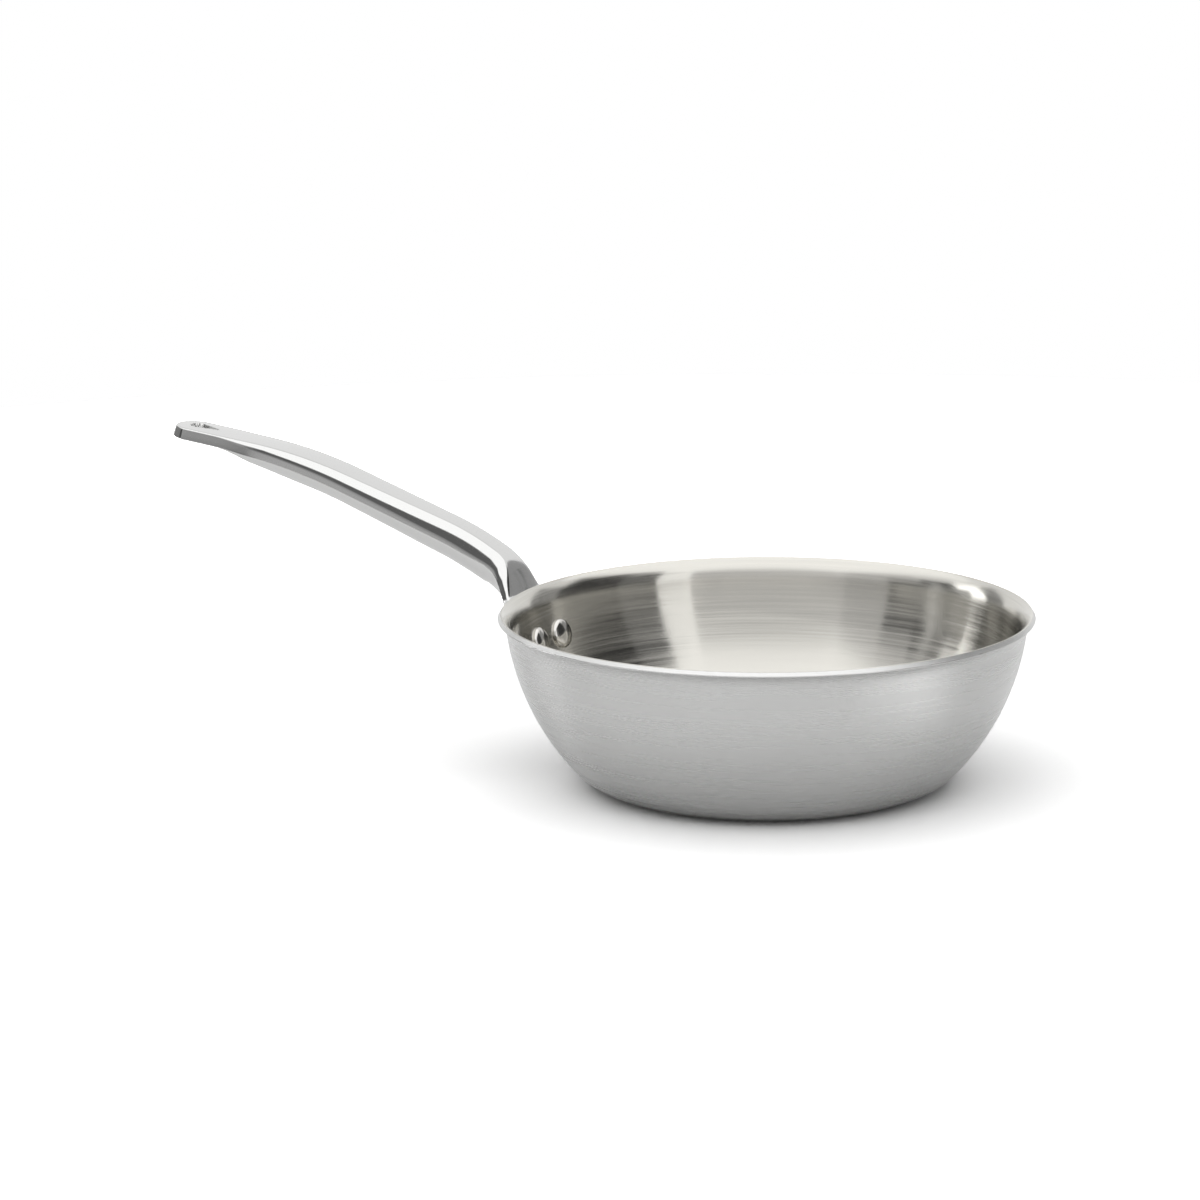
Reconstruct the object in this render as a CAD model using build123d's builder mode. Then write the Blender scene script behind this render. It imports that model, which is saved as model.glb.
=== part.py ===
from build123d import *
import os
from math import acos, atan2, cos, degrees, hypot, radians, sin
from typing import NamedTuple

os.makedirs("parts", exist_ok=True)

# Saucier pan of clad sheet with a hollow steel handle on two rivets, in millimetres and degrees.
# The origin is the centre of the base, on the surface that the pan stands on, and Z is up.
# The handle points along -X, so Y runs across it.
# A heading is the slope of a line in the X-Z plane as it leads outward from the pan's axis.

# Bowl, by its outer face: the lip's edge, how far it overhangs the flat base, and how the lip flares
rim_radius = 120.0
rim_edge_height = 75.7
wall_spread = 53.5
corner_radius = 29.0
corner_turn = 48.0
flare_reach = 4.1
flare_drop = 6.7

# Clad sheet, from the outside in
outer_skin_thickness = 0.5
core_thickness = 1.7
inner_skin_thickness = 0.5

# Rivets, on the wall below the lip's edge
rivet_drop = 21.7
rivet_spacing = 20.5
rivet_head_radius = 6.8
rivet_head_height = 2.9
rivet_head_edge = 0.6
rivet_shank_radius = 2.5
rivet_tail_radius = 4.4
rivet_tail_height = 1.5

# Crest of the handle, the line along the middle of its top. Its stem starts at the flange's foot, just
# off the wall, and passes just outside the lip's edge before the bend.
flange_drop = 31.7
stem_foot_gap = 1.7
stem_lip_gap = 2.5
stem_rise = 8.1
bend_radius = 20.0
bend_heading = 31.0
rise_radius = 140.0
grip_heading = 18.5
grip_length = 55.0
droop_radius = 250.0
tab_heading = 6.8
tab_reach = 36.0
tab_straight = 16.0

# Sections of the handle: widths across it, and depths below the crest
flange_width = 40.0
flange_thickness = 3.6
flange_corner_radius = 11.0
flange_trim = 1.0
flange_bury = 8.0
keel_width = 9.0
keel_depth = 12.5
keel_foot_share = 0.55
root_width = 31.0
root_depth = 12.6
root_shoulder = 1.8
root_side = 3.8
waist_width = 20.4
waist_depth = 18.2
waist_shoulder = 4.6
waist_side = 7.6
grip_width = 23.2
grip_depth = 14.7
grip_shoulder = 4.4
grip_side = 6.8
tab_width = 22.4
tab_depth = 6.4
tab_shoulder = 2.8
tab_side = 5.9
handle_wall = 2.0
tab_wall = 2.2
lip_clearance = 0.5

# Hanging slot, a teardrop with its point towards the pan
slot_length = 15.0
slot_width = 7.6
slot_point_radius = 0.9
slot_margin = 8.0

# One overrun serves every cut
overrun = 5.0

# Share of a corner that makes a curve through it a quarter of an ellipse
quarter_share = 0.5523

# How far the section has gone from one form to the next, at places along the crest
middle_share = 0.5
stem_end_share = 0.5
bend_middle_share = 0.85
grip_start_share = 0.08
grip_middle_share = 0.38
grip_end_share = 0.7
droop_end_share = 0.27

sheet_thickness = outer_skin_thickness + core_thickness + inner_skin_thickness
base_radius = rim_radius - wall_spread
flare_radius = rim_radius - flare_reach
flare_height = rim_edge_height - flare_drop
rivet_height = rim_edge_height - rivet_drop
stem_foot_height = rim_edge_height - flange_drop


class Arc(NamedTuple):
    """An arc by its radius and its turn."""

    radius: float
    turn: float


def tangent_arc(start, heading, end):
    """The arc that leaves start at the heading and ends at end."""
    chord = hypot(end[0] - start[0], end[1] - start[1])
    turn = 2 * (degrees(atan2(end[1] - start[1], end[0] - start[0])) - heading)
    return Arc(chord / (2 * sin(radians(abs(turn) / 2))), turn)


# The outer face in section is a flat base, a corner, a wall and a flared lip, tangent in turn
corner_end = (
    base_radius + corner_radius * sin(radians(corner_turn)),
    corner_radius - corner_radius * cos(radians(corner_turn)),
)
flare_start = (flare_radius, flare_height)
wall_arc = tangent_arc(corner_end, corner_turn, flare_start)
flare_heading = corner_turn + wall_arc.turn
lip_arc = tangent_arc(flare_start, flare_heading, (rim_radius, rim_edge_height))
wall_centre = (
    corner_end[0] - wall_arc.radius * sin(radians(corner_turn)),
    corner_end[1] + wall_arc.radius * cos(radians(corner_turn)),
)


def wall_heading_at(height):
    """The slope of the outer wall at a height."""
    return degrees(acos((wall_centre[1] - height) / wall_arc.radius))


def wall_radius_at(height):
    """The distance from the pan's axis to the outer wall at a height."""
    return wall_centre[0] + wall_arc.radius * sin(radians(wall_heading_at(height)))


# The stem runs from its foot to a point beside the lip's edge, and on up to the bend
stem_foot_radius = wall_radius_at(stem_foot_height) + stem_foot_gap
stem_spread = rim_radius + stem_lip_gap - stem_foot_radius
stem_heading = degrees(atan2(flange_drop, stem_spread))
stem_length = hypot(stem_spread, flange_drop) + stem_rise


def sheet_curve(depth):
    """The sheet's section at a depth under its outer face: the base, and the lip at its end."""
    base = Line((0, depth), (base_radius, depth))
    corner = JernArc(base @ 1, base % 1, corner_radius - depth, corner_turn)
    wall = JernArc(corner @ 1, corner % 1, wall_arc.radius - depth, wall_arc.turn)
    lip = JernArc(wall @ 1, wall % 1, lip_arc.radius + depth, lip_arc.turn)
    return base, lip


def bowl_layer(outer_depth, inner_depth):
    """One layer of the sheet between two depths, with its rivet holes."""
    with BuildPart() as layer:
        with BuildSketch(Plane.XZ):
            with BuildLine():
                outer_base, outer_lip = sheet_curve(outer_depth)
                inner_base, inner_lip = sheet_curve(inner_depth)
                Line(outer_lip @ 1, inner_lip @ 1)
                Line(inner_base @ 0, outer_base @ 0)
            make_face()
        revolve(axis=Axis.Z)
        with Locations(*rivet_seats):
            Hole(rivet_shank_radius, rivet_reach)
    return layer.part


def bowl_envelope(depth, floor):
    """All that lies inside the sheet's face at a depth, from a floor height to well over the rim."""
    with BuildPart() as envelope:
        with BuildSketch(Plane.XZ):
            with BuildLine():
                base, lip = sheet_curve(depth)
                above = Line(lip @ 1, (lip @ 1) + Vector(0, stem_length))
                Polyline(above @ 1, (0, (above @ 1).Y), base @ 0)
            make_face()
            with Locations((0, floor - rim_radius)):
                Rectangle(4 * rim_radius, 2 * rim_radius, mode=Mode.SUBTRACT)
        revolve(axis=Axis.Z)
    return envelope.part


# Rivets stand square to the wall, one to each side of the handle's middle
rivet_heading = wall_heading_at(rivet_height)
rivet_turn = degrees(acos((1 - (rivet_spacing / 2 / wall_radius_at(rivet_height)) ** 2) ** 0.5))
rivet_reach = sheet_thickness + flange_thickness + 2 * overrun


def rivet_axis(side):
    """A plane on the outer wall at one rivet: its X runs along the wall, its Z out of the pan."""
    around = radians(rivet_turn * side)
    outward = Vector(-cos(around), sin(around), 0)
    normal = outward * sin(radians(rivet_heading)) - Vector(0, 0, cos(radians(rivet_heading)))
    foot = outward * wall_radius_at(rivet_height) + Vector(0, 0, rivet_height)
    return Plane(origin=foot, x_dir=Vector(0, 0, 1).cross(outward), z_dir=normal)


rivet_sides = {"rivet_left": 1, "rivet_right": -1}
rivet_seats = [rivet_axis(side).offset(rivet_reach / 2).location for side in rivet_sides.values()]

# Clad bowl: two steel skins on a thick aluminium core
outer_skin = bowl_layer(0, outer_skin_thickness)
outer_skin.label = "outer_skin"
export_step(outer_skin, "parts/outer_skin.step")

aluminium_core = bowl_layer(outer_skin_thickness, sheet_thickness - inner_skin_thickness)
aluminium_core.label = "aluminium_core"
export_step(aluminium_core, "parts/aluminium_core.step")

inner_skin = bowl_layer(sheet_thickness - inner_skin_thickness, sheet_thickness)
inner_skin.label = "inner_skin"
export_step(inner_skin, "parts/inner_skin.step")


class Girth(NamedTuple):
    """Half of a handle section: lengths across it, and depths below the crest."""

    top: float
    flat: float
    half: float
    shoulder: float
    side: float
    depth: float
    keel: float
    pinch: float


def blend(first, second, share):
    """The section that lies a share of the way from the first to the second."""
    return Girth(*(a + (b - a) * share for a, b in zip(first, second)))


def girth(width, depth, shoulder, side):
    """A round-bellied section with a flat top between its shoulders."""
    return Girth(0, width / 2 - shoulder, width / 2, shoulder, side, depth, width / 2, 0)


def half_outline(form):
    """The section from the middle of its top round one side to the middle of its belly."""
    drop = form.depth - form.side
    top = Line((0, form.top), (form.flat, form.top))
    shoulder = Bezier(
        top @ 1,
        (form.flat + quarter_share * (form.half - form.flat), form.top),
        (form.half, form.shoulder + quarter_share * (form.top - form.shoulder)),
        (form.half, form.shoulder),
    )
    side = Line(shoulder @ 1, (form.half, form.side))
    leave = (form.half - form.pinch * (form.half - form.keel), form.side + (1 - form.pinch) * quarter_share * drop)
    arrive = (form.keel * form.pinch + form.half * quarter_share * (1 - form.pinch), form.depth)
    Bezier(side @ 1, leave, arrive, (0, form.depth))


with BuildLine(Plane.XZ) as crest:
    foot = Vector(-stem_foot_radius, 0, stem_foot_height)
    up = Vector(-cos(radians(stem_heading)), 0, sin(radians(stem_heading)))
    stem = Line(foot - up * overrun, foot + up * stem_length)
    bend = JernArc(stem @ 1, stem % 1, bend_radius, stem_heading - bend_heading)
    rise = JernArc(bend @ 1, bend % 1, rise_radius, bend_heading - grip_heading)
    grip = Line(rise @ 1, (rise @ 1) + (rise % 1) * grip_length)
    droop = JernArc(grip @ 1, grip % 1, droop_radius, grip_heading - tab_heading)
    tab = Line(droop @ 1, (droop @ 1) + (droop % 1) * tab_reach)


def across(line, share):
    """The plane square to the crest at a share of one of its lines, its Y pointing into the handle."""
    return Plane(origin=line @ share, x_dir=(0, 1, 0), z_dir=line % share)


def stem_share(height):
    """The share of the stem that lies below a height."""
    return (height - (stem @ 0).Z) / ((stem @ 1).Z - (stem @ 0).Z)


def flange_section(height, depth):
    """The flange at a height: a plate on the wall, with the keel standing on it to a depth."""
    share = stem_share(height)
    half = flange_width / 2 + flange_trim
    behind_crest = -(stem @ share).X - (wall_radius_at(height) ** 2 - half**2) ** 0.5
    side = flange_thickness - behind_crest
    buried = root_shoulder - flange_bury
    form = Girth(-flange_bury, half - root_shoulder, half, buried, side, depth, keel_width / 2, 1)
    return across(stem, share), form


root_form = girth(root_width, root_depth, root_shoulder, root_side)._replace(keel=keel_width / 2, pinch=1)
waist_form = girth(waist_width, waist_depth, waist_shoulder, waist_side)
grip_form = girth(grip_width, grip_depth, grip_shoulder, grip_side)
tab_form = girth(tab_width, tab_depth, tab_shoulder, tab_side)
tab_start_share = 1 - tab_straight / tab_reach

# The round body of the handle, from its neck to the tab
body_sections = [
    (across(bend, 1), waist_form),
    (across(rise, middle_share), waist_form),
    (across(rise, 1), blend(waist_form, grip_form, grip_start_share)),
    (across(grip, middle_share), blend(waist_form, grip_form, grip_middle_share)),
    (across(grip, 1), blend(waist_form, grip_form, grip_end_share)),
    (across(droop, middle_share), grip_form),
    (across(droop, 1), blend(grip_form, tab_form, droop_end_share)),
]
flange_sections = [
    flange_section(stem_foot_height - overrun / 2, flange_thickness),
    flange_section(rivet_height, keel_depth * keel_foot_share),
    flange_section(flare_height, keel_depth),
    (across(stem, stem_share(rim_edge_height)), root_form),
]
handle_sections = [
    (across(stem, stem_share(rim_edge_height)), root_form),
    (across(stem, 1), blend(root_form, waist_form, stem_end_share)),
    (across(bend, middle_share), blend(root_form, waist_form, bend_middle_share)),
    *body_sections,
    (across(tab, tab_start_share), tab_form),
    (across(tab, 1), tab_form),
]


def inside(form):
    """The hollow of a body section, one handle wall in from its face."""
    return form._replace(top=handle_wall, half=form.half - handle_wall, depth=form.depth - handle_wall)


def lofted(sections):
    """A solid through the sections in turn."""
    with BuildPart() as solid:
        for plane, form in sections:
            with BuildSketch(plane):
                with BuildLine():
                    half_outline(form)
                    mirror(about=Plane.YZ)
                make_face()
        loft()
    return solid.part


tab_end = across(tab, 1)


def tab_round(form):
    """The full round at the tab's end, as half a section turned about the end's upright axis."""
    with BuildPart() as round_end:
        with BuildSketch(tab_end):
            with BuildLine():
                half_outline(form)
                Line((0, form.depth), (0, form.top))
            make_face()
        revolve(axis=Axis(tab_end.origin, tab_end.y_dir), revolution_arc=-180)
    return round_end.part


channel_form = tab_form._replace(top=tab_wall, half=tab_form.half - tab_wall, side=tab_depth, depth=tab_depth + overrun)
channel_start = across(tab, 1 - (tab_straight - tab_wall) / tab_reach)
slot_plane = Plane(origin=tab @ 1, x_dir=tab % 1, z_dir=-tab_end.y_dir)
slot_round_place = tab_width / 2 - slot_margin - slot_width / 2
slot_point_place = slot_round_place - slot_length + slot_width / 2 + slot_point_radius

# Hollow handle: a formed tube that spreads into the flange and flattens into the tab
with BuildPart() as handle:
    add(lofted(handle_sections))
    add(tab_round(tab_form))
    add(lofted([(channel_start, channel_form), (tab_end, channel_form)]), mode=Mode.SUBTRACT)
    add(tab_round(channel_form), mode=Mode.SUBTRACT)
    add(lofted(flange_sections))
    # The flange lies on the wall and stays clear of the flared lip
    add(bowl_envelope(0, 0), mode=Mode.SUBTRACT)
    add(bowl_envelope(-lip_clearance, flare_height), mode=Mode.SUBTRACT)
    # The flange is trimmed to straight sides and rounded lower corners
    with BuildSketch(Plane.YZ.offset(-stem_foot_radius)):
        with Locations((0, stem_foot_height)):
            Rectangle(2 * flange_width, 2 * (flange_width - flange_corner_radius))
        with Locations((0, stem_foot_height + flange_width / 2)):
            RectangleRounded(flange_width, flange_width, flange_corner_radius, mode=Mode.SUBTRACT)
    extrude(amount=rim_radius / 4, both=True, mode=Mode.SUBTRACT)
    # The body is hollow and closed
    add(lofted([(plane, inside(form)) for plane, form in body_sections]), mode=Mode.SUBTRACT)
    # Teardrop slot through the tab
    with BuildSketch(slot_plane):
        with Locations((slot_round_place, 0)):
            Circle(slot_width / 2)
        with Locations((slot_point_place, 0)):
            Circle(slot_point_radius)
        make_hull()
    extrude(amount=tab_depth, both=True, mode=Mode.SUBTRACT)
    with Locations(*rivet_seats):
        Hole(rivet_shank_radius, rivet_reach)
handle.part.label = "handle"
export_step(handle.part, "parts/handle.step")

# Rivets: a low polished dome in the pan, a shank that fills its holes, and a tail set on the flange
food_side = bowl_envelope(sheet_thickness, 0)


def button(seat, radius, foot, rim, peak):
    """A round dome about the rivet's axis, from its foot over a straight rim to its peak."""
    half_plane = Plane(origin=seat.origin, x_dir=seat.x_dir, z_dir=seat.x_dir.cross(seat.z_dir))
    with BuildPart() as dome:
        with BuildSketch(half_plane):
            with BuildLine():
                edge = Line((radius, foot), (radius, rim))
                top = Bezier(
                    edge @ 1,
                    (radius, rim + quarter_share * (peak - rim)),
                    (quarter_share * radius, peak),
                    (0, peak),
                )
                Polyline(top @ 1, (0, foot), edge @ 0)
            make_face()
        revolve(axis=Axis(seat.origin, seat.z_dir))
    return dome.part


for name, side in rivet_sides.items():
    seat = rivet_axis(side)
    inner_face = -sheet_thickness
    head_rim = inner_face - rivet_head_edge
    head = button(seat, rivet_head_radius, 0, head_rim, inner_face - rivet_head_height)
    tail_peak = flange_thickness + rivet_tail_height
    tail = button(seat, rivet_tail_radius, flange_thickness / 2, flange_thickness, tail_peak)
    with BuildPart() as rivet:
        add(head)
        add(food_side, mode=Mode.INTERSECT)
        with BuildSketch(seat.offset(head_rim)):
            Circle(rivet_shank_radius)
        extrude(amount=tail_peak - head_rim - rivet_tail_height / 2)
        add(tail - handle.part)
    rivet.part.label = name
    export_step(rivet.part, f"parts/{name}.step")
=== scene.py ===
# %% [markdown]
# # A clad saucier pan
# The pan is a bowl pressed from one sheet of steel, aluminium and steel, with a hollow polished handle on
# two rivets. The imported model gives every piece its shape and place, in metres, with the pan standing on
# the origin and its handle along -X. This script gives the pressed skins their rounded lip, the handle its
# smooth formed surface, every metal its finish, and the pan a studio and a camera.

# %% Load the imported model
import bmesh
import bpy
import numpy as np
from math import acos, atan2, cos, degrees, hypot, pi, radians, sin
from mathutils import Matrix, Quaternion, Vector


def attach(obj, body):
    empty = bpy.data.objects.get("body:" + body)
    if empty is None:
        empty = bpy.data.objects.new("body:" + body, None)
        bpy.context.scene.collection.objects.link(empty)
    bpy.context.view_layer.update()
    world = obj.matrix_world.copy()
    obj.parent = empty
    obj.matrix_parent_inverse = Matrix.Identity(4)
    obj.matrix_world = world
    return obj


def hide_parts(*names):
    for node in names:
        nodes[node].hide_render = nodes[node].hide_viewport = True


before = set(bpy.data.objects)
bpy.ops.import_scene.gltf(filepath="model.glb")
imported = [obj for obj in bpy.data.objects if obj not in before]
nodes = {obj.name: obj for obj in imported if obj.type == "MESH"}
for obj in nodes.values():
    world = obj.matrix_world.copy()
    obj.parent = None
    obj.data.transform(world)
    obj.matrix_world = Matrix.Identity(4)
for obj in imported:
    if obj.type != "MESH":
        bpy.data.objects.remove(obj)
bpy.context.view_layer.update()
mm = 0.001
print("pieces:", ", ".join(sorted(nodes)))

# %% [markdown]
# ## Colours and nodes
# Paint and metal colours are written as the eye sees them on a screen, in sRGB hex. Blender's shaders add
# and multiply light, so they need linear values, and one function makes the change. Another small function
# adds a shader node, sets its values and links its inputs, so that each material below reads as a list of
# steps.


# %% Turn a colour to linear, and add a shader node
def linear(hex_colour):
    """An sRGB colour such as 'c8c5c0' as a linear colour with alpha."""
    parts = [int(hex_colour[i : i + 2], 16) / 255 for i in (0, 2, 4)]
    return (*((p / 12.92 if p <= 0.04045 else ((p + 0.055) / 1.055) ** 2.4) for p in parts), 1)


def add(tree, kind, values=None, links=None, **settings):
    """A new node with its settings, its input values and what feeds its inputs."""
    node = tree.nodes.new(kind)
    for name, value in settings.items():
        setattr(node, name, value)
    for name, value in (values or {}).items():
        node.inputs[name].default_value = value
    for name, source in (links or {}).items():
        tree.links.new(source, node.inputs[name])
    return node


def new_material(name):
    """An empty material, its node tree and the tree's output."""
    material = bpy.data.materials.new(name)
    material.use_nodes = True
    material.node_tree.nodes.clear()
    return material, material.node_tree, material.node_tree.nodes.new("ShaderNodeOutputMaterial")


# %% [markdown]
# ## The bowl's section
# The bowl was pressed over a former, so its outer face in section is a flat base, a round corner, a long
# wall and a flared lip, each running smoothly into the next. A line that keeps its heading at every point
# can be moved inward by the sheet's thickness and stays true, which is how the inner face is found.

# %% Follow the outer face from the axis to the lip's edge
rim_radius, rim_edge_height = 120.0, 75.7
base_radius, corner_radius, corner_turn = 66.5, 29.0, 48.0
flare_radius, flare_height = 115.9, 69.0
skin, sheet = 0.5, 2.7


def arc_to(start, heading, end):
    """The radius and the turn of the arc that leaves start at a heading and ends at end."""
    chord = hypot(end[0] - start[0], end[1] - start[1])
    turn = 2 * (degrees(atan2(end[1] - start[1], end[0] - start[0])) - heading)
    return chord / (2 * sin(radians(abs(turn) / 2))), turn


def walk(start, heading, moves, step):
    """Points, headings and distances along straight runs (length, 0) and arcs (radius, turn)."""
    places, headings, gone = [start], [heading], [0.0]
    for size, turn in moves:
        length = size * radians(abs(turn)) if turn else size
        count = max(2, round(length / step))
        for _ in range(count):
            here, middle = places[-1], radians(headings[-1] + turn / count / 2)
            chord = 2 * size * sin(radians(abs(turn)) / count / 2) if turn else length / count
            places.append((here[0] + chord * cos(middle), here[1] + chord * sin(middle)))
            headings.append(headings[-1] + turn / count)
            gone.append(gone[-1] + length / count)
    return np.array(places), np.array(headings), np.array(gone)


wall_foot_turn = radians(corner_turn)
corner_end = (base_radius + corner_radius * sin(wall_foot_turn), corner_radius * (1 - cos(wall_foot_turn)))
wall_end = (flare_radius, flare_height)
wall_size, wall_turn = arc_to(corner_end, corner_turn, wall_end)
lip_size, lip_turn = arc_to(wall_end, corner_turn + wall_turn, (rim_radius, rim_edge_height))
section_step = 1.5
bowl_moves = [(base_radius, 0), (corner_radius, corner_turn), (wall_size, wall_turn), (lip_size, lip_turn)]
bowl_places, bowl_headings, _ = walk((0, 0), 0, bowl_moves, section_step)
print("the outer face ends at", bowl_places[-1].round(2), "mm, heading", round(bowl_headings[-1], 1))


def face_at(depth):
    """The sheet's section at a depth under the outer face."""
    turned = np.radians(bowl_headings)
    return bowl_places + depth * np.stack([-np.sin(turned), np.cos(turned)], axis=1)


# %% [markdown]
# ## The two steel skins
# Where the sheet was trimmed, its edge shows the three layers, and polishing left the outer corner of each
# skin slightly round. That small round catches a bright line all along the lip, so it is worth real
# geometry. Each skin is a closed line turned about the pan's axis: its face, the rounded corner, the cut
# edge and its back.

# %% Turn a section about the pan's axis
around = 180  # faces round the pan, each 2 degrees wide
lip_round = 0.35
lip_steps = 6


def new_piece(name, vertices, faces):
    """A mesh object in metres, smooth all over, from vertices in millimetres."""
    mesh = bpy.data.meshes.new(name)
    mesh.from_pydata([Vector(v) * mm for v in vertices], [], faces)
    whole = bmesh.new()
    whole.from_mesh(mesh)
    bmesh.ops.recalc_face_normals(whole, faces=whole.faces)
    whole.to_mesh(mesh)
    whole.free()
    mesh.polygons.foreach_set("use_smooth", [True] * len(mesh.polygons))
    piece = bpy.data.objects.new(name, mesh)
    bpy.context.scene.collection.objects.link(piece)
    return piece


def turned_piece(name, line):
    """A closed line of (radius, height) turned about Z. Its first and last points are on the axis."""
    angles = [2 * pi * i / around for i in range(around)]
    rings = [[(r * cos(a), r * sin(a), z) for a in angles] for r, z in line[1:-1]]
    vertices = [(0, 0, line[0][1])] + [v for ring in rings for v in ring] + [(0, 0, line[-1][1])]
    last = len(vertices) - 1
    faces = []
    for i in range(around):
        j = (i + 1) % around
        faces.append((0, 1 + i, 1 + j))
        faces.append((last, last - around + j, last - around + i))
        for k in range(len(rings) - 1):
            low, high = 1 + k * around, 1 + (k + 1) * around
            faces.append((low + i, low + j, high + j, high + i))
    return new_piece(name, vertices, faces)


def rounded_edge(face_depth, back_depth):
    """The end of a skin: from its face, round the lip's corner, to the cut edge at its back."""
    heading = radians(bowl_headings[-1])
    along = np.array([cos(heading), sin(heading)])
    inward = np.array([-sin(heading), cos(heading)]) * (1 if back_depth > face_depth else -1)
    corner = face_at(face_depth)[-1]
    centre = corner + (inward - along) * lip_round
    swept = [centre + lip_round * (along * sin(a) - inward * cos(a)) for a in np.linspace(0, pi / 2, lip_steps)]
    return [*swept, face_at(back_depth)[-1]]


def skin_line(face_depth, back_depth):
    """The closed section of a skin, from the axis out along its face and back along its back."""
    face, back = face_at(face_depth), face_at(back_depth)
    return [*face[:-1], *rounded_edge(face_depth, back_depth), *back[-2::-3], back[0]]


outside = turned_piece("bowl_outside", skin_line(0, skin))
inside = turned_piece("bowl_inside", skin_line(sheet, sheet - skin))
for piece, node in ((outside, "outer_skin"), (inside, "inner_skin")):
    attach(piece, "root")
    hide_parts(node)
    print(piece.name, len(piece.data.polygons), "faces")

# %% [markdown]
# ## The handle's crest
# The handle is sheet steel formed into a hollow grip, so its surface has no true flats and no sharp
# changes. Its shape is easiest to hold as one line along the middle of its top, and a section that changes
# along that line. The line leaves the flange steeply, bends over the lip, rises in a long curve and levels
# off at the tab. A short running mean of its heading takes the jumps in curvature out, which a polished
# surface would show as kinks.

# %% Lay out the crest
stem_foot = (111.0, 44.0)
stem_heading, bend_heading, grip_heading, tab_heading = 70.05, 31.0, 18.5, 6.8
stem_length, grip_length, tab_reach, tab_straight = 41.8, 55.0, 36.0, 16.0
bend_radius, rise_radius, droop_radius = 20.0, 140.0, 250.0
foot_overrun = 4.0
crest_step = 0.5
ease_length = 5.0

crest_moves = [
    (foot_overrun + stem_length, 0),
    (bend_radius, bend_heading - stem_heading),
    (rise_radius, grip_heading - bend_heading),
    (grip_length, 0),
    (droop_radius, tab_heading - grip_heading),
    (tab_reach, 0),
]
up_stem = np.array([cos(radians(stem_heading)), sin(radians(stem_heading))])
crest_start = tuple(np.array(stem_foot) - foot_overrun * up_stem)
_, raw_headings, raw_gone = walk(crest_start, stem_heading, crest_moves, crest_step)
crest_gone = np.arange(0, raw_gone[-1], crest_step)
even_headings = np.interp(crest_gone, raw_gone, raw_headings)
reach = int(ease_length / crest_step / 2)
padded_headings = np.pad(even_headings, reach, mode="edge")
crest_headings = np.convolve(padded_headings, np.ones(2 * reach + 1) / (2 * reach + 1), mode="valid")
steps = np.stack([np.cos(np.radians(crest_headings)), np.sin(np.radians(crest_headings))], axis=1) * crest_step
crest_places = np.array(crest_start) + np.concatenate([[[0, 0]], np.cumsum(steps[:-1], axis=0)])
crest_gone = crest_gone - foot_overrun
bend_length = bend_radius * radians(stem_heading - bend_heading)
rise_length = rise_radius * radians(bend_heading - grip_heading)
droop_length = droop_radius * radians(grip_heading - tab_heading)
stops = np.cumsum([0, stem_length, bend_length, rise_length, grip_length, droop_length, tab_reach])
print("the crest ends at", crest_places[-1].round(1), "mm from the pan's axis and base")

# %% [markdown]
# ## The handle's sections
# Every section has a nearly flat top, a round shoulder, a short side and a belly. Near the pan the belly
# draws in to a narrow keel and the top spreads to a plate. Along the grip the shoulder is wide and soft,
# and towards the tab it closes to the crisp edge of folded sheet. So eight named sections describe the
# whole handle, and what lies between two of them is a blend. Each size runs smoothly from place to place on
# a curve that never swings past its neighbours.

# %% Eight sections and their places along the crest
quarter = 0.5523


def section(half, flat, shoulder, side, depth, top=0.12, lean=0.0, keel=None, turn=quarter):
    """Sizes in mm. A keel pinches the belly in, and a lean draws the side in at its top. The turn is the share
    of a curve that its upright end takes. A quarter of an ellipse has 0.5523, and less stays tilted longer."""
    pinch = 0.0 if keel is None else 1.0
    return np.array([top, flat, half - lean, half, shoulder, side, depth, keel or half, pinch, turn])


def blend(first, second, share):
    """A section that has gone a share of the way from one to the other."""
    return first + share * (second - first)


keel_half, tab_half = 4.5, 11.2
foot_plate = section(half=21.0, flat=19.2, shoulder=-6.2, side=2.1, depth=3.9, top=-8.0, keel=keel_half)
rivet_plate = section(half=21.0, flat=19.2, shoulder=-6.2, side=1.0, depth=7.6, top=-8.0, keel=keel_half)
flare_plate = section(half=20.8, flat=19.0, shoulder=-4.2, side=1.6, depth=12.5, top=-6.0, keel=keel_half)
lip_neck = section(half=15.5, flat=13.7, shoulder=1.8, side=3.8, depth=12.6, keel=keel_half)
slim_grip = section(half=10.2, flat=5.6, shoulder=7.2, side=9.0, depth=18.2, turn=0.27)
bend_grip = section(half=10.4, flat=5.8, shoulder=5.4, side=6.8, depth=17.9, turn=0.25)
wide_grip = section(half=11.6, flat=7.2, shoulder=4.6, side=6.9, depth=14.7)
flat_tab = section(half=tab_half, flat=8.4, shoulder=1.0, side=5.2, depth=7.0, lean=0.9)

bend_end, rise_end, grip_end, droop_end, crest_end = stops[2:7]
stem_end = stops[1]
sections = [
    (-foot_overrun, foot_plate),
    (10.6, rivet_plate),
    (26.6, flare_plate),
    (33.7, lip_neck),
    (stem_end, blend(lip_neck, bend_grip, 0.5)),
    ((stem_end + bend_end) / 2, blend(lip_neck, bend_grip, 0.88)),
    (bend_end, blend(bend_grip, slim_grip, 0.35)),
    ((bend_end + rise_end) / 2, slim_grip),
    (rise_end, blend(slim_grip, wide_grip, 0.08)),
    ((rise_end + grip_end) / 2, blend(slim_grip, wide_grip, 0.45)),
    (grip_end, blend(slim_grip, wide_grip, 0.8)),
    ((grip_end + droop_end) / 2, wide_grip),
    (droop_end, blend(wide_grip, flat_tab, 0.36)),
    (crest_end - tab_straight, flat_tab),
    (crest_end, flat_tab),
]
section_places = np.array([place for place, _ in sections])
section_sizes = np.array([sizes for _, sizes in sections])
first_place, last_place = section_places[0], section_places[-1].round(1)
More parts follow.
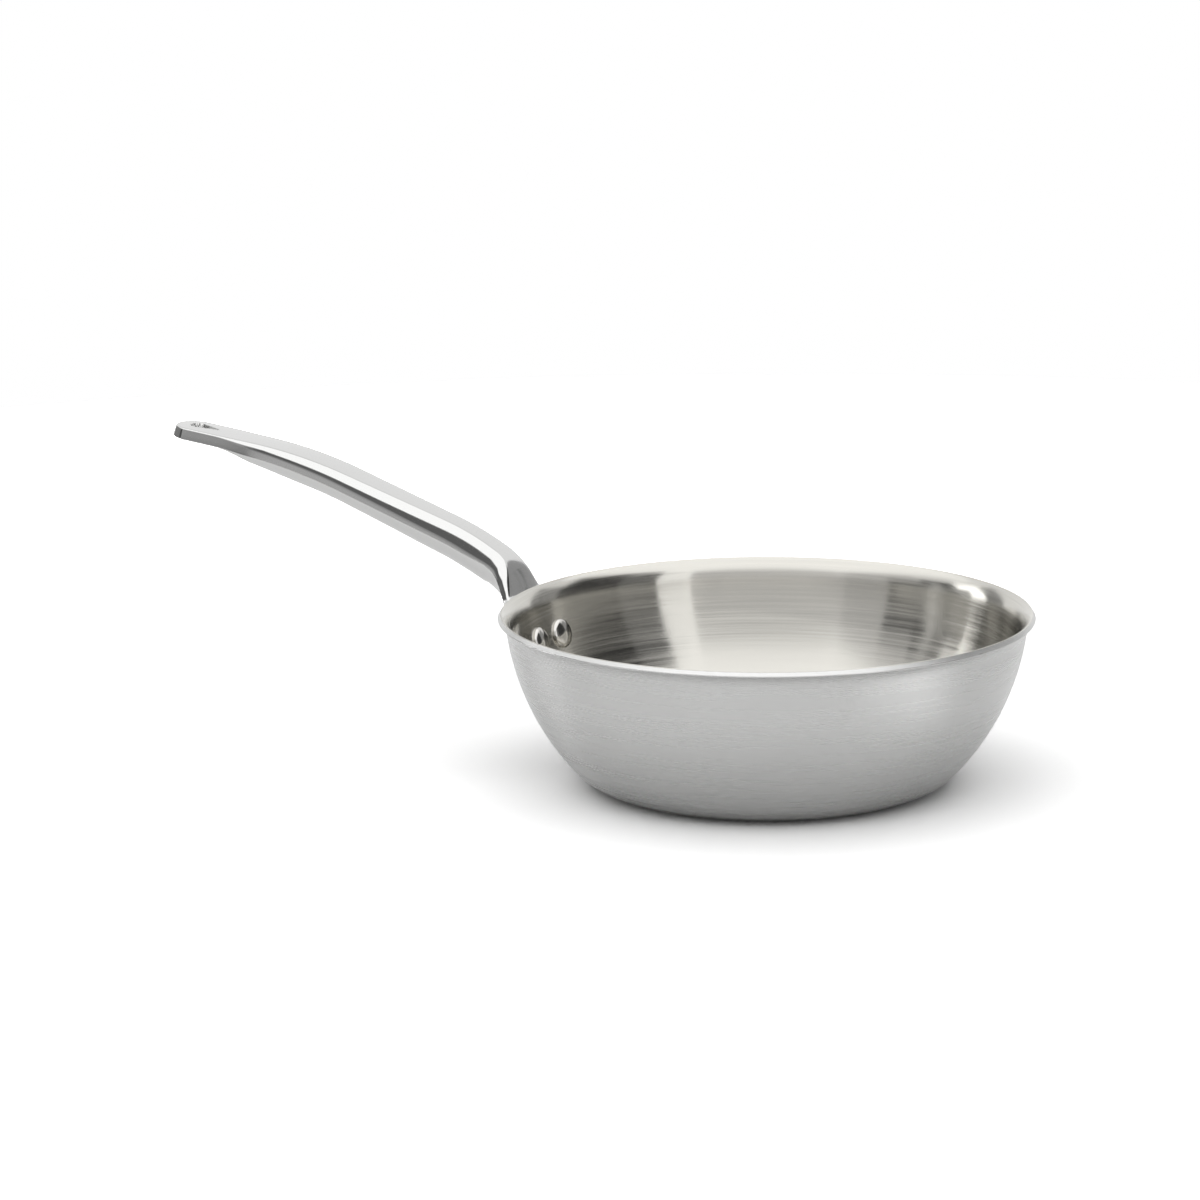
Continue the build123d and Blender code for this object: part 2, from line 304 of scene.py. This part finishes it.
print(len(sections), "places, from", first_place, "to", last_place, "mm along the crest")


def smooth_through(places, values, wanted):
    """A curve through the values that never swings past them, read at the wanted places."""
    gaps = np.diff(places)
    slopes = np.diff(values) / gaps
    before, after = slopes[:-1], slopes[1:]
    same = before * after > 0
    first_pull = (2 * gaps[1:] + gaps[:-1]) / np.where(same, before, 1)
    second_pull = (gaps[1:] + 2 * gaps[:-1]) / np.where(same, after, 1)
    slants = np.where(same, 3 * (gaps[:-1] + gaps[1:]) / np.where(same, first_pull + second_pull, 1), 0)
    slants = np.concatenate([[0], slants, [0]])
    i = np.clip(np.searchsorted(places, wanted) - 1, 0, len(places) - 2)
    t = (wanted - places[i]) / gaps[i]
    return (
        values[i] * (1 + 2 * t) * (1 - t) ** 2
        + values[i + 1] * (3 - 2 * t) * t**2
        + gaps[i] * (slants[i] * t * (1 - t) ** 2 - slants[i + 1] * (1 - t) * t**2)
    )


columns = [smooth_through(section_places, sizes, crest_gone) for sizes in section_sizes.T]
forms = np.stack(columns, axis=1)

# %% [markdown]
# ## One half of a section
# A section is the same on both sides, so half of it is drawn, from the middle of its top over the shoulder
# and the side to the middle of its belly. The shoulder and the belly are each one Bezier curve.

# %% Points of half a section
crown, plate_crown = 0.12, 0.5
top_points, shoulder_points, belly_points = 7, 8, 14


def bend_line(points, count):
    """A Bezier curve's points without its first."""
    t = np.linspace(0, 1, count + 1)[1:, None]
    a, b, c, d = (np.array(p) for p in points)
    return a * (1 - t) ** 3 + 3 * b * t * (1 - t) ** 2 + 3 * c * t**2 * (1 - t) + d * t**3


def half_section(form):
    """Points as (across, depth). Polishing leaves the top a shade crowned, and the plate more so."""
    top, flat, edge, half, shoulder, side, depth, keel, pinch, turn = form
    drop = depth - side
    u = np.linspace(0, 1, top_points)[:, None]
    face = np.hstack([flat * u, top + (crown + plate_crown * pinch) * u**2])
    rim = face[-1]
    over = (flat + quarter * (edge - flat), rim[1])
    down = (edge, shoulder + turn * (rim[1] - shoulder))
    round_over = bend_line([rim, over, down, (edge, shoulder)], shoulder_points)
    flank = np.array([(edge + (half - edge) * v, shoulder + (side - shoulder) * v) for v in (0.5, 1)])
    leave = (half - pinch * (half - keel), side + (1 - pinch) * turn * drop)
    arrive = (keel * pinch + half * quarter * (1 - pinch), depth)
    belly = bend_line([(half, side), leave, arrive, (0, depth)], belly_points)
    return np.vstack([face, round_over, flank, belly])


half_count = len(half_section(forms[0]))
print(len(crest_gone), "forms along the crest, each of", 2 * half_count - 2, "points")

# %% [markdown]
# ## The handle's skin
# The sections are joined ring by ring, and the tab's end is half a section swung round the end of the
# crest, so the tab closes in a full round. The underside of the tab is open, as on a pressed handle, and a
# teardrop slot goes through it for a hook. The flange is cut to the bowl's own wall, so the two touch all
# over.

# %% Join the sections and swing the end
def crest_point(k, across, depth):
    """A point of a section in millimetres: across the handle, and below its crest."""
    turn = radians(crest_headings[k])
    out, high = crest_places[k] + depth * np.array([sin(turn), -cos(turn)])
    return (-out, across, high)


rows = [k for k in range(0, len(crest_gone) - 1, 2)] + [len(crest_gone) - 1]
vertices, rings = [], []
for k in rows:
    half = half_section(forms[k])
    ring = [(y, d) for y, d in half] + [(-y, d) for y, d in half[-2:0:-1]]
    rings.append(range(len(vertices), len(vertices) + len(ring)))
    vertices += [crest_point(k, y, d) for y, d in ring]
faces = [tuple(reversed(rings[0]))]
for low, high in zip(rings, rings[1:]):
    n = len(low)
    faces += [(low[i], low[(i + 1) % n], high[(i + 1) % n], high[i]) for i in range(n)]

end = len(crest_gone) - 1
end_turn = radians(crest_headings[end])
end_half = half_section(forms[end])
swings = 24
swung = [[rings[-1][i] for i in range(half_count)]]
for s in range(1, swings):
    angle = pi * s / swings
    column = [rings[-1][0]]
    for y, d in end_half[1:-1]:
        x, y_at, z = crest_point(end, y * cos(angle), d)
        column.append(len(vertices))
        vertices.append((x - y * sin(angle) * cos(end_turn), y_at, z + y * sin(angle) * sin(end_turn)))
    column.append(rings[-1][half_count - 1])
    swung.append(column)
swung.append([rings[-1][0]] + [rings[-1][-i] for i in range(1, half_count - 1)] + [rings[-1][half_count - 1]])
for a, b in zip(swung, swung[1:]):
    for i in range(half_count - 1):
        corners = dict.fromkeys((a[i], a[i + 1], b[i + 1], b[i]))
        faces.append(tuple(corners))
handle = new_piece("handle_shell", vertices, faces)
print("skin:", len(handle.data.polygons), "faces")


# %% [markdown]
# ## Cuts in the handle
# A maker would press the handle over the finished bowl, trim the flange, and punch the slot. The same cuts
# are made here with solid cutters: the bowl's own shape with a little air round the flared lip, the
# flange's trimmed outline, the open underside of the tab, and the slot.

# %% Cutters, each a closed solid
def prism(name, outline, place):
    """A solid between two copies of an outline, where place turns (a point, 0 or 1) to millimetres."""
    n = len(outline)
    corners = [place(p, 0) for p in outline] + [place(p, 1) for p in outline]
    sides = [(i, (i + 1) % n, n + (i + 1) % n, n + i) for i in range(n)]
    cutter = new_piece(name, corners, [tuple(reversed(range(n))), tuple(range(n, 2 * n)), *sides])
    return cutter


def wedge(name, line, first, last):
    """A solid turned part of the way round the pan's axis, between two angles in degrees."""
    n = len(line)
    angles = np.radians(np.arange(first, last + 1, 360 / around))
    corners = [(r * cos(a), r * sin(a), z) for a in angles for r, z in line]
    sides = [
        (k * n + i, k * n + (i + 1) % n, (k + 1) * n + (i + 1) % n, (k + 1) * n + i)
        for k in range(len(angles) - 1)
        for i in range(n)
    ]
    ends = [tuple(range(n)), tuple(range((len(angles) - 1) * n, len(angles) * n))]
    cutter = new_piece(name, corners, [*ends, *sides])
    return cutter


lip_air, wall_low, wall_top, wedge_core = 0.5, 30.0, 130.0, 60.0
wedge_first, wedge_last = 156, 204
wall_part = [p for p in face_at(0) if wall_low < p[1] < flare_height]
lip_part = [p for p in face_at(-lip_air) if p[1] > flare_height]
bowl_line = [(wedge_core, wall_low), *wall_part, *lip_part, (lip_part[-1][0], wall_top), (wedge_core, wall_top)]
bowl_cutter = wedge("bowl_cutter", bowl_line, wedge_first, wedge_last)

flange_half, flange_corner, flange_foot, flange_top = 20.0, 11.0, 44.0, 73.0
corner_centre = (flange_half - flange_corner, flange_foot + flange_corner)
bow = [
    (corner_centre[0] + flange_corner * cos(a), corner_centre[1] - flange_corner * sin(a))
    for a in np.linspace(0, pi / 2, 13)
]
trim_half, trim_foot, trim_near, trim_reach = 30, 30, -90, 60
trim = [
    (-trim_half, trim_foot),
    (trim_half, trim_foot),
    (trim_half, flange_top),
    (flange_half, flange_top),
    *bow,
    *[(-y, z) for y, z in reversed(bow)],
    (-flange_half, flange_top),
    (-trim_half, flange_top),
]
trim_cutter = prism("trim_cutter", trim, lambda p, far: (trim_near - trim_reach * far, p[0], p[1]))

tab_along = np.array([cos(end_turn), sin(end_turn)])
tab_down = np.array([sin(end_turn), -cos(end_turn)])


def on_tab(along, across, depth):
    """Millimetres from the middle of the tab's round: along the tab, across it, and below its top."""
    out, high = crest_places[end] + along * tab_along + depth * tab_down
    return (-out, across, high)


tab_wall, channel_deep = 2.2, 10
channel_half = tab_half - tab_wall
channel = [(-tab_straight + tab_wall, channel_half), (-tab_straight + tab_wall, -channel_half)]
channel += [(channel_half * cos(a), channel_half * sin(a)) for a in np.linspace(-pi / 2, pi / 2, 25)]


def in_channel(point, far):
    """A point of the channel's outline, at the underside of the tab's sheet or well below it."""
    return on_tab(point[0], point[1], tab_wall + channel_deep * far)


channel_cutter = prism("channel_cutter", channel, in_channel)

slot_round, slot_point, slot_centre, point_centre = 3.8, 0.9, -0.6, -10.9
meeting = pi - acos((slot_round - slot_point) / (slot_centre - point_centre))
broad_end = np.linspace(-meeting, meeting, 61)
narrow_end = np.linspace(meeting, 2 * pi - meeting, 9)
teardrop = [(slot_centre + slot_round * cos(a), slot_round * sin(a)) for a in broad_end]
teardrop += [(point_centre + slot_point * cos(a), slot_point * sin(a)) for a in narrow_end]
slot_over, slot_deep = -5, 20
slot_cutter = prism("slot_cutter", teardrop, lambda p, far: on_tab(p[0], p[1], slot_over + slot_deep * far))
print("slot:", len(teardrop), "points, flange:", len(trim), "points")

# %% [markdown]
# ## Cut and soften
# Sheet that a hand will hold isn't left with a raw edge. A small bevel takes every edge where the surface
# turns by more than 45 degrees, and weighted normals keep the broad faces beside it calm in reflections.

# %% Cut, and round every edge that a hand would meet
edge_round = 0.4 * mm
edge_corner = radians(45)
for cutter in (bowl_cutter, trim_cutter, channel_cutter, slot_cutter):
    cut = handle.modifiers.new(cutter.name, "BOOLEAN")
    cut.operation = "DIFFERENCE"
    cut.solver = "EXACT"
    cut.object = cutter
soften = handle.modifiers.new("edges", "BEVEL")
soften.width = edge_round
soften.segments = 3
soften.limit_method = "ANGLE"
soften.angle_limit = edge_corner
soften.use_clamp_overlap = True
weigh = handle.modifiers.new("shading", "WEIGHTED_NORMAL")
weigh.keep_sharp = True
bpy.context.view_layer.update()
shaped = bpy.data.meshes.new_from_object(handle.evaluated_get(bpy.context.evaluated_depsgraph_get()))
handle.modifiers.clear()
handle.data = shaped
for cutter in (bowl_cutter, trim_cutter, channel_cutter, slot_cutter):
    bpy.data.objects.remove(cutter)
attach(handle, "root")
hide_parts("handle")
print("handle:", len(shaped.polygons), "faces")

# %% [markdown]
# ## Satin stainless steel, brushed round the pan
# The bowl's skins are stainless steel, ground with fine abrasive as they spin, so the scratches run round
# the axis. Light that falls across scratches is spread across them, and light along them stays sharp. On
# the walls that spreads every reflection up and down and leaves its sides crisp, which is why a brushed pan
# shows upright bands. The shader does this with a strong anisotropy turned a quarter turn from the
# direction round the axis, and noise that is long round the pan and short across it adds the scratches that
# are coarse enough to see.

# %% Satin steel for the outside and the inside
scratch_pitch = 0.9 * mm  # real scratches lie closer, too close to show at this distance
scratch_turn = 0.6  # radians round the pan before a scratch fades
band_pitch = 7 * mm
scratch_depth = 0.02 * mm
noise_mean = 0.5
band_share, haze_share = 0.6, 0.25


def brushed_round(name, colour, roughness, relief, contrast):
    """Steel brushed round the Z axis, where contrast is how much the scratches show."""
    material, tree, output = new_material(name)
    place = add(tree, "ShaderNodeTexCoord").outputs["Object"]
    flat = add(tree, "ShaderNodeVectorMath", {1: (1, 1, 0)}, {0: place}, operation="MULTIPLY")
    round_about = add(tree, "ShaderNodeVectorMath", links={0: flat.outputs[0]}, operation="NORMALIZE")
    radius = add(tree, "ShaderNodeVectorMath", links={0: flat.outputs[0]}, operation="LENGTH")
    height = add(tree, "ShaderNodeSeparateXYZ", links={0: place})
    down_the_wall = {0: radius.outputs["Value"], 1: height.outputs["Z"]}
    along = add(tree, "ShaderNodeMath", links=down_the_wall, operation="ADD")
    ways = []
    for pitch, turn in ((scratch_pitch, scratch_turn), (band_pitch, 2 * scratch_turn)):
        around_pan = {0: round_about.outputs[0]}
        spread = add(tree, "ShaderNodeVectorMath", {"Scale": 1 / turn}, around_pan, operation="SCALE")
        across = add(tree, "ShaderNodeMath", {1: 1 / pitch}, {0: along.outputs[0]}, operation="MULTIPLY")
        joined = add(tree, "ShaderNodeCombineXYZ", links={"Z": across.outputs[0]})
        parts = {0: spread.outputs[0], 1: joined.outputs[0]}
        both = add(tree, "ShaderNodeVectorMath", links=parts, operation="ADD")
        settings = {"Scale": 1, "Detail": 2, "Roughness": 0.5}
        ways.append(add(tree, "ShaderNodeTexNoise", settings, {"Vector": both.outputs[0]}))
    fine, broad = ways
    narrow = add(tree, "ShaderNodeMath", {1: noise_mean}, {0: fine.outputs["Fac"]}, operation="SUBTRACT")
    wide = add(tree, "ShaderNodeMath", {1: noise_mean}, {0: broad.outputs["Fac"]}, operation="SUBTRACT")
    sum_of = {0: wide.outputs[0], 2: narrow.outputs[0]}
    marks = add(tree, "ShaderNodeMath", {1: band_share}, sum_of, operation="MULTIPLY_ADD")
    by_marks = {0: marks.outputs[0]}
    spread_values = {1: haze_share * contrast, 2: roughness}
    dull = add(tree, "ShaderNodeMath", spread_values, by_marks, operation="MULTIPLY_ADD")
    tone_values = {1: contrast, 2: 0.5}
    shade = add(tree, "ShaderNodeMath", tone_values, by_marks, operation="MULTIPLY_ADD", use_clamp=True)
    tones = add(tree, "ShaderNodeValToRGB", links={"Fac": shade.outputs[0]})
    tones.color_ramp.elements[0].color = linear(colour[0])
    tones.color_ramp.elements[1].color = linear(colour[1])
    heights = {"Strength": relief, "Distance": scratch_depth}
    bumps = add(tree, "ShaderNodeBump", heights, {"Height": fine.outputs["Fac"]})
    tangent = add(tree, "ShaderNodeTangent", direction_type="RADIAL", axis="Z")
    shader = add(
        tree,
        "ShaderNodeBsdfPrincipled",
        {"Metallic": 1, "Anisotropic": 0.95, "Anisotropic Rotation": 0.25},
        {
            "Base Color": tones.outputs["Color"],
            "Roughness": dull.outputs[0],
            "Normal": bumps.outputs[0],
            "Tangent": tangent.outputs[0],
        },
    )
    tree.links.new(shader.outputs["BSDF"], output.inputs["Surface"])
    return material


outside_tones, inside_tones = ("c8c8c7", "d2d2d1"), ("c3c1bb", "d3d1cb")
outside_steel = brushed_round(
    "satin_stainless_steel_outside", outside_tones, roughness=0.28, relief=0.018, contrast=0.4
)
inside_steel = brushed_round(
    "satin_stainless_steel_inside", inside_tones, roughness=0.19, relief=0.03, contrast=1.0
)
print("satin finishes:", outside_steel.name, inside_steel.name)

# %% [markdown]
# ## Polished stainless steel
# The handle and the rivets were buffed on a soft wheel. That leaves a bright mirror with a faint haze, a
# little uneven where the wheel passed, and a very slight grain along the handle.

# %% Polished steel
def buffed(name, colour, roughness, grain):
    """Buffed steel whose haze changes a little from place to place, on a grain of so many marks a metre."""
    material, tree, output = new_material(name)
    place = add(tree, "ShaderNodeTexCoord").outputs["Object"]
    stretched = add(tree, "ShaderNodeMapping", {"Scale": grain}, {"Vector": place})
    haze = add(tree, "ShaderNodeTexNoise", {"Scale": 1, "Detail": 3}, {"Vector": stretched.outputs[0]})
    spread = {"From Min": 0.3, "From Max": 0.7, "To Min": roughness * 0.8, "To Max": roughness * 1.25}
    dull = add(tree, "ShaderNodeMapRange", spread, {"Value": haze.outputs["Fac"]})
    heights = {"Strength": 0.05, "Distance": scratch_depth}
    ripple = add(tree, "ShaderNodeBump", heights, {"Height": haze.outputs["Fac"]})
    shader = add(
        tree,
        "ShaderNodeBsdfPrincipled",
        {"Base Color": linear(colour), "Metallic": 1},
        {"Roughness": dull.outputs[0], "Normal": ripple.outputs[0]},
    )
    tree.links.new(shader.outputs["BSDF"], output.inputs["Surface"])
    return material


handle_steel = buffed("polished_stainless_steel", "d4d4d3", roughness=0.11, grain=(60, 900, 900))
rivet_steel = buffed("polished_rivet_steel", "cfcdc9", roughness=0.14, grain=(400, 400, 400))
print("polished finishes:", handle_steel.name, rivet_steel.name)

# %% [markdown]
# ## Cut aluminium
# The core shows only in the trimmed edge of the lip, a pale line between the two skins. The trimming cut
# leaves fine nicks in it, so its shine is uneven.

# %% Aluminium core
core_edge, tree, output = new_material("rolled_aluminium_cut_edge")
place = add(tree, "ShaderNodeTexCoord").outputs["Object"]
nicks = add(tree, "ShaderNodeTexNoise", {"Scale": 600, "Detail": 2}, {"Vector": place})
dull = add(tree, "ShaderNodeMapRange", {"To Min": 0.3, "To Max": 0.5}, {"Value": nicks.outputs["Fac"]})
bare_metal = {"Base Color": linear("dcdcdb"), "Metallic": 1}
shader = add(tree, "ShaderNodeBsdfPrincipled", bare_metal, {"Roughness": dull.outputs[0]})
tree.links.new(shader.outputs["BSDF"], output.inputs["Surface"])

# %% [markdown]
# ## Every piece gets its finish
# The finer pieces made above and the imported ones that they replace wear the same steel, so either can be
# shown.

# %% Give each piece its finish
finishes = {
    outside: outside_steel,
    inside: inside_steel,
    handle: handle_steel,
    nodes["outer_skin"]: outside_steel,
    nodes["inner_skin"]: inside_steel,
    nodes["aluminium_core"]: core_edge,
    nodes["handle"]: handle_steel,
    nodes["rivet_left"]: rivet_steel,
    nodes["rivet_right"]: rivet_steel,
}
for piece, material in finishes.items():
    piece.data.materials.clear()
    piece.data.materials.append(material)
print(len(finishes), "pieces have a finish")

# %% [markdown]
# ## Camera
# The pan is seen as through a long lens, from the side where its handle points left and back, a little above
# the rim. The place, the aim and the slight roll were worked out from the rim's ellipse, the base and the
# handle.

# %% Camera
camera_place = Vector((854.8, -1765.5, 512.9)) * mm
camera_aim = Vector((-0.4586, 0.8625, -0.2140))
camera_roll = radians(-0.502)
camera_data = bpy.data.cameras.new("camera")
camera_data.sensor_width = 36
camera_data.lens = 135
camera = bpy.data.objects.new("camera", camera_data)
bpy.context.scene.collection.objects.link(camera)
camera.location = camera_place
camera.rotation_mode = "QUATERNION"
camera.rotation_quaternion = camera_aim.to_track_quat("-Z", "Y") @ Quaternion((0, 0, 1), camera_roll)
bpy.context.scene.camera = camera
bpy.context.scene.view_settings.view_transform = "Standard"
print("the camera stands", round(camera_place.length, 2), "m from the pan's base")

# %% [markdown]
# ## Studio
# Polished metal has no colour of its own to speak of: it shows the room. So the room is built round the pan
# as a photographer builds it, from a bright ceiling, tall strip lights, grey walls and black cards, and the
# bands on the metal are their reflections. The camera never sees the cards, and of them the ceiling alone
# lights matt surfaces such as the table. Behind the pan the room is plain white. Each wall card below is
# given by two bearings from the camera's side, two elevations, all in degrees, and its level.

# %% Cards round the pan
toward = Vector((-camera_aim.x, -camera_aim.y, 0)).normalized()
rightward = Vector((-toward.y, toward.x, 0))
room_radius = 3.0


def glowing(name, level):
    """A plain surface that glows evenly, where 1 is white."""
    material, tree, output = new_material(name)
    glow = add(tree, "ShaderNodeEmission", {"Color": (level, level, level, 1), "Strength": 1})
    tree.links.new(glow.outputs[0], output.inputs["Surface"])
    return material


def card(name, corners, faces, material, lights=False):
    """A card of the room, which the camera doesn't see and which only lights matt things if it says so."""
    mesh = bpy.data.meshes.new(name)
    mesh.from_pydata(corners, [], faces)
    mesh.materials.append(material)
    panel = bpy.data.objects.new(name, mesh)
    bpy.context.scene.collection.objects.link(panel)
    panel.visible_camera = False
    panel.visible_diffuse = lights
    panel.visible_shadow = False
    return panel


def wall_card(name, first, last, low, high, level):
    """A curved card between two bearings and two elevations. Bearing 0 is the camera's side, 90 its right."""
    count = max(2, round(abs(last - first) / 5))
    corners = []
    for i in range(count + 1):
        bearing = radians(first + (last - first) * i / count)
        out = (toward * cos(bearing) + rightward * sin(bearing)) * room_radius
        corners += [(out.x, out.y, room_radius * sin(radians(e)) / cos(radians(e))) for e in (low, high)]
    faces = [(2 * i, 2 * i + 2, 2 * i + 3, 2 * i + 1) for i in range(count)]
    return card(name, corners, faces, glowing(name, level))


wall_card("grey_wall_in_front", -40, 34, 0, 35, 0.70)
wall_card("grey_wall_front_left", -82, -40, 0, 33, 0.58)
wall_card("strip_light", 34, 51, 0, 31, 1.35)
wall_card("dark_card_beside_strip", 51, 72, 0, 42, 0.17)
wall_card("black_card_right", 72, 112, 0, 42, 0.05)
wall_card("grey_card_right_back", 112, 135, 0, 30, 0.36)
wall_card("dark_stand", 121, 127, 9, 17, 0.08)
wall_card("black_card_left", -104, -82, 0, 30, 0.08)
wall_card("strip_light_left", -124, -105, 0, 30, 2.4)
wall_card("dark_card_left_back", -140, -124, 0, 30, 0.3)
wall_card("grey_band_behind", 150, 210, 41, 52, 0.80)

ceiling_height = 1.6
ceiling_corners = [
    toward * along + rightward * across + Vector((0, 0, ceiling_height))
    for along, across in ((-1.25, -1.7), (-1.25, 1.5), (1.95, 1.5), (1.95, -1.7))
]
whole = [(0, 1, 2, 3)]
card("ceiling_light", ceiling_corners, whole, glowing("ceiling_light", 1.45), lights=True)
print("the ceiling is at", ceiling_height, "m")

# %% [markdown]
# ## Cards beside the handle
# The dark line and the grey band along the handle's side are made here by a card that stands close beside
# it. Its foot and its top follow the handle's slope, and it grows darker upwards. A second card beyond it
# greys the side of the tab, and a third, across the handle's end, darkens the tip. Sizes are in metres.

# %% Dark and grey cards beside the handle
flag_foot = [(-0.13, 0.06), (-0.222, 0.062), (-0.267, 0.07), (-0.305, 0.08), (-0.32, 0.09), (-0.33, 0.10)]
flag_top = [(-0.33, 0.27), (-0.305, 0.22), (-0.267, 0.19), (-0.13, 0.16)]


def on_flag(x, z):
    """A point of the standing card, which runs along the handle a hand's width in front of it."""
    return (x, -0.105 + 0.08 * (x + 0.18), z)


def fading(name, direction, start, end, first, last):
    """A card's paper whose glow runs from one level to another along a direction."""
    paper, tree, output = new_material(name)
    place = add(tree, "ShaderNodeTexCoord").outputs["Object"]
    along = add(tree, "ShaderNodeVectorMath", {1: direction}, {0: place}, operation="DOT_PRODUCT")
    values = {"From Min": start, "From Max": end, "To Min": first, "To Max": last}
    level = add(tree, "ShaderNodeMapRange", values, {"Value": along.outputs["Value"]})
    glow = add(tree, "ShaderNodeEmission", {"Color": (1, 1, 1, 1)}, {"Strength": level.outputs[0]})
    tree.links.new(glow.outputs[0], output.inputs["Surface"])
    return paper


flag_corners = [on_flag(x, z) for x, z in flag_foot + flag_top]
flag_face = [tuple(range(len(flag_corners)))]
card("dark_flag", flag_corners, flag_face, fading("dark_flag", (0.5, 0, 1), -0.036, 0.004, 0.50, 0.13))
end_corners = [on_flag(x, z) for x, z in ((-0.33, 0.108), (-0.43, 0.112), (-0.43, 0.27), (-0.33, 0.27))]
tip_corners = [(-0.40, y, z) for y, z in ((-0.06, 0.10), (0.04, 0.10), (0.04, 0.21), (-0.06, 0.21))]
card("tip_flag", tip_corners, whole, glowing("tip_flag", 0.22))
card("grey_flag", end_corners, whole, fading("grey_flag", (0, 0, 1), 0.125, 0.18, 0.24, 0.46))
print("the card beside the handle has", len(flag_corners), "corners")

# %% [markdown]
# ## A pool of light
# The brushed wall has one soft bright patch, on the right. It is taken for the reflection of a lit place on
# the table, so a patch that fades out at its edge lies there, seen only in reflections.

# %% A soft patch on the table, front right
pool_away, pool_bearing, pool_half = 0.24, 52, 0.11
pool_lift, pool_level = 0.001, 1.5
pool_centre = (toward * cos(radians(pool_bearing)) + rightward * sin(radians(pool_bearing))) * pool_away
pool_square = ((-1, -1), (1, -1), (1, 1), (-1, 1))
pool_corners = [pool_centre + Vector((x * pool_half, y * pool_half, pool_lift)) for x, y in pool_square]
pool_light, tree, output = new_material("pool_of_light")
place = add(tree, "ShaderNodeTexCoord").outputs["Object"]
away = add(tree, "ShaderNodeVectorMath", {1: pool_centre}, {0: place}, operation="DISTANCE")
inward = {"From Min": pool_half, "From Max": 0, "To Max": 1}
distance = {"Value": away.outputs["Value"]}
soft = add(tree, "ShaderNodeMapRange", inward, distance, interpolation_type="SMOOTHSTEP")
clear = add(tree, "ShaderNodeBsdfTransparent")
glow = add(tree, "ShaderNodeEmission", {"Color": (1, 1, 1, 1), "Strength": pool_level})
mixed = add(tree, "ShaderNodeMixShader", links={0: soft.outputs[0], 1: clear.outputs[0], 2: glow.outputs[0]})
tree.links.new(mixed.outputs[0], output.inputs["Surface"])
card("pool_of_light", pool_corners, whole, pool_light)
print("the pool of light lies", pool_away, "m from the pan's axis")

# %% [markdown]
# ## White table and background
# The table is white paper. The camera takes it brighter than it is lit, and more so far away, so that it
# meets the white background with hardly a line and still shows the soft shadow under the bowl. In the
# metal's reflections the paper has a level of its own.

# %% The table and its paper
table_radius = 1.1
plain_paper = 0.8
seen_paper = 1.52
far_paper = 4.0
mirrored_paper = 1.06
rise_start, rise_end_place = 0.3, 0.9  # metres from the pan's axis
table_mesh = bpy.data.meshes.new("table")
rim_points = 96
table_angles = [2 * pi * i / rim_points for i in range(rim_points)]
table_corners = [(table_radius * cos(a), table_radius * sin(a), 0) for a in table_angles]
table_mesh.from_pydata(table_corners, [], [tuple(range(rim_points))])
table = bpy.data.objects.new("table", table_mesh)
bpy.context.scene.collection.objects.link(table)
paper, tree, output = new_material("white_paper")
path = add(tree, "ShaderNodeLightPath")
glossy, to_camera = path.outputs["Is Glossy Ray"], path.outputs["Is Camera Ray"]
mirrored = {1: mirrored_paper - plain_paper, 2: plain_paper}
toned = add(tree, "ShaderNodeMath", mirrored, {0: glossy}, operation="MULTIPLY_ADD")
place = add(tree, "ShaderNodeTexCoord").outputs["Object"]
away = add(tree, "ShaderNodeVectorMath", links={0: place}, operation="LENGTH")
rise = {"From Min": rise_start, "From Max": rise_end_place}
rise |= {"To Min": seen_paper - plain_paper, "To Max": far_paper - plain_paper}
far = add(tree, "ShaderNodeMapRange", rise, {"Value": away.outputs["Value"]})
levels = {0: to_camera, 1: far.outputs[0], 2: toned.outputs[0]}
bright = add(tree, "ShaderNodeMath", links=levels, operation="MULTIPLY_ADD")
matt = add(tree, "ShaderNodeBsdfDiffuse", links={"Color": bright.outputs[0]})
tree.links.new(matt.outputs[0], output.inputs["Surface"])
table_mesh.materials.append(paper)
print("the table is", 2 * table_radius, "m across")

# %% [markdown]
# ## The white room
# The camera and the polished metal see white all round. Matt surfaces get almost nothing from it, because
# light from every side would wash the shadow under the bowl away.

# %% The world
room_level, matt_level = 1.0, 0.05
world = bpy.data.worlds.new("white_room")
bpy.context.scene.world = world
world.use_nodes = True
backdrop = world.node_tree.nodes["Background"]
room_tree = world.node_tree
path = add(room_tree, "ShaderNodeLightPath")
seeing = {0: path.outputs["Is Camera Ray"], 1: path.outputs["Is Glossy Ray"]}
seen = add(room_tree, "ShaderNodeMath", links=seeing, operation="MAXIMUM")
room_levels = {"To Min": matt_level, "To Max": room_level}
level = add(room_tree, "ShaderNodeMapRange", room_levels, {"Value": seen.outputs[0]})
backdrop.inputs["Color"].default_value = (1, 1, 1, 1)
room_tree.links.new(level.outputs[0], backdrop.inputs["Strength"])
print("the room's level is", room_level)
